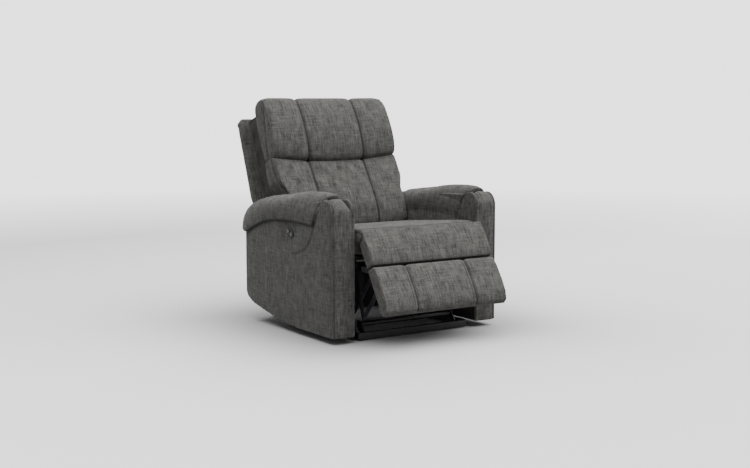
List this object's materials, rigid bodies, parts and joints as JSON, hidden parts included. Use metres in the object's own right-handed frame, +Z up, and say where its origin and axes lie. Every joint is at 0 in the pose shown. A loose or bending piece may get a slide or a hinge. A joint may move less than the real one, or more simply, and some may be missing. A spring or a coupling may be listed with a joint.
{
  "type": "recliner armchair",
  "caption": "Power recliner armchair: channelled back cushions, pillow-top arms, pop-up footrest on a pantograph linkage, sliding seat, steel base and arm switch.",
  "frame": {"origin": "On the floor under the middle of the chair's box as it stands half open.", "axes": "+X is the sitter's left (the switch is on the -X arm), +Y the rear, +Z up."},
  "size_m": [0.904, 1.2601, 1.0341],
  "materials": {
    "weave_fabric": "matte",
    "dust_cloth": "matte",
    "webbing": "matte",
    "base_steel": "satin",
    "link_steel": "satin",
    "bright_steel": "satin",
    "track_alloy": "satin",
    "frame_wood": "matte",
    "black_plastic": "matte",
    "button_plastic": "satin",
    "white_nylon": "satin"
  },
  "bodies": {
    "base": {"base_front_rail": "base_steel", "base_side_rails": "base_steel", "base_rear_rail": "base_steel", "cross_tube": "base_steel", "base_uprights": "base_steel", "swing_pins": "bright_steel", "floor_glides": "black_plastic", "arm_brackets": "base_steel", "arm_posts": "frame_wood", "arm_rear_panels": "weave_fabric", "arm_rails": "frame_wood", "arm_top_boards": "frame_wood", "arm_inner_panels": "weave_fabric", "arm_outer_panels": "weave_fabric", "arm_front_bands": "weave_fabric", "arm_pads": "weave_fabric", "switch_bezel": "black_plastic", "control_box": "black_plastic", "power_inlet": "black_plastic"},
    "seat": {"seat_side_plates": "base_steel", "seat_front_rail": "base_steel", "seat_side_rails": "base_steel", "seat_rear_rail": "base_steel", "seat_springs": "bright_steel", "seat_cushion": "weave_fabric", "glide_pins": "bright_steel", "glide_bushes": "white_nylon", "hip_pins": "bright_steel", "idler_pivot_pins": "bright_steel", "actuator_track": "track_alloy", "lead_screw": "bright_steel", "drive_motor": "black_plastic", "front_hanger": "base_steel", "rear_hanger": "base_steel"},
    "back": {"back_brackets": "base_steel", "back_stiles": "frame_wood", "back_rails": "frame_wood", "back_straps": "webbing", "back_side_linings": "dust_cloth", "lumbar_cushion": "weave_fabric", "head_cushion": "weave_fabric", "back_shell": "weave_fabric"},
    "footrest": {"footrest_board": "frame_wood", "footrest_upper_pad": "weave_fabric", "footrest_lower_pad": "weave_fabric", "footrest_brackets": "link_steel", "footrest_pins": "bright_steel"},
    "drive_crank": {"torque_tube": "bright_steel", "drive_lever": "bright_steel", "lever_pin": "bright_steel", "drive_cranks": "link_steel", "crank_pins": "bright_steel"},
    "idler_crank": {"idler_cranks": "link_steel", "idler_pins": "bright_steel"},
    "upper_coupler": {"upper_couplers": "link_steel"},
    "lower_coupler": {"lower_couplers": "link_steel"},
    "drive_nut": {"drive_nut": "white_nylon"},
    "recline_link": {"recline_links": "link_steel"},
    "open_button": {"open_button": "button_plastic"},
    "close_button": {"close_button": "button_plastic"}
  },
  "joints": [
    {"name": "seat_glide", "type": "slide", "parent": "base", "child": "seat", "axis": [0, -1, 0], "range_m": [-0.015, 0.045]},
    {"name": "back_recline", "type": "hinge", "parent": "seat", "child": "back", "pos_m": [0, 0.165, 0.385], "axis": [-1, 0, 0], "range_deg": [-8.01, 24.01]},
    {"name": "footrest_open", "type": "hinge", "parent": "seat", "child": "footrest", "pos_m": [0, -0.41, 0.462], "axis": [-1, 0, 0], "range_deg": [-31, 57]},
    {"name": "drive_crank_turn", "type": "hinge", "parent": "seat", "child": "drive_crank", "pos_m": [0, -0.31358, 0.34709], "axis": [-1, 0, 0], "range_deg": [-31.01, 57.01]},
    {"name": "idler_crank_turn", "type": "hinge", "parent": "seat", "child": "idler_crank", "pos_m": [0, -0.25573, 0.27815], "axis": [-1, 0, 0], "range_deg": [-31.01, 57.01]},
    {"name": "upper_coupler_turn", "type": "hinge", "parent": "drive_crank", "child": "upper_coupler", "pos_m": [0, -0.35906, 0.18849], "axis": [-1, 0, 0], "range_deg": [-57.01, 31.01]},
    {"name": "lower_coupler_turn", "type": "hinge", "parent": "drive_crank", "child": "lower_coupler", "pos_m": [0, -0.38249, 0.10678], "axis": [-1, 0, 0], "range_deg": [-57.01, 31.01]},
    {"name": "drive_nut_slide", "type": "slide", "parent": "seat", "child": "drive_nut", "axis": [0, -1, 0], "range_m": [-0.03029, 0.05561]},
    {"name": "recline_link_swing", "type": "hinge", "parent": "base", "child": "recline_link", "pos_m": [0, 0.094, 0.105], "axis": [-1, 0, 0], "range_deg": [-15.74, 5.25]},
    {"name": "open_button_press", "type": "slide", "parent": "base", "child": "open_button", "axis": [1, 0, 0], "range_m": [0, 0.0015], "stiffness_N_per_m": 1500, "springref_m": -0.001},
    {"name": "close_button_press", "type": "slide", "parent": "base", "child": "close_button", "axis": [1, 0, 0], "range_m": [0, 0.0015], "stiffness_N_per_m": 1500, "springref_m": -0.001}
  ],
  "couplings": [
    {"joint": "back_recline", "follows": "seat_glide", "rad_per_m": 9.3084},
    {"joint": "recline_link_swing", "follows": "seat_glide", "rad_per_m": -6.1},
    {"joint": "drive_crank_turn", "follows": "footrest_open", "ratio": 1},
    {"joint": "idler_crank_turn", "follows": "footrest_open", "ratio": 1},
    {"joint": "upper_coupler_turn", "follows": "footrest_open", "ratio": -1},
    {"joint": "lower_coupler_turn", "follows": "footrest_open", "ratio": -1},
    {"joint": "drive_nut_slide", "follows": "footrest_open", "m_per_rad": 0.0558}
  ]
}
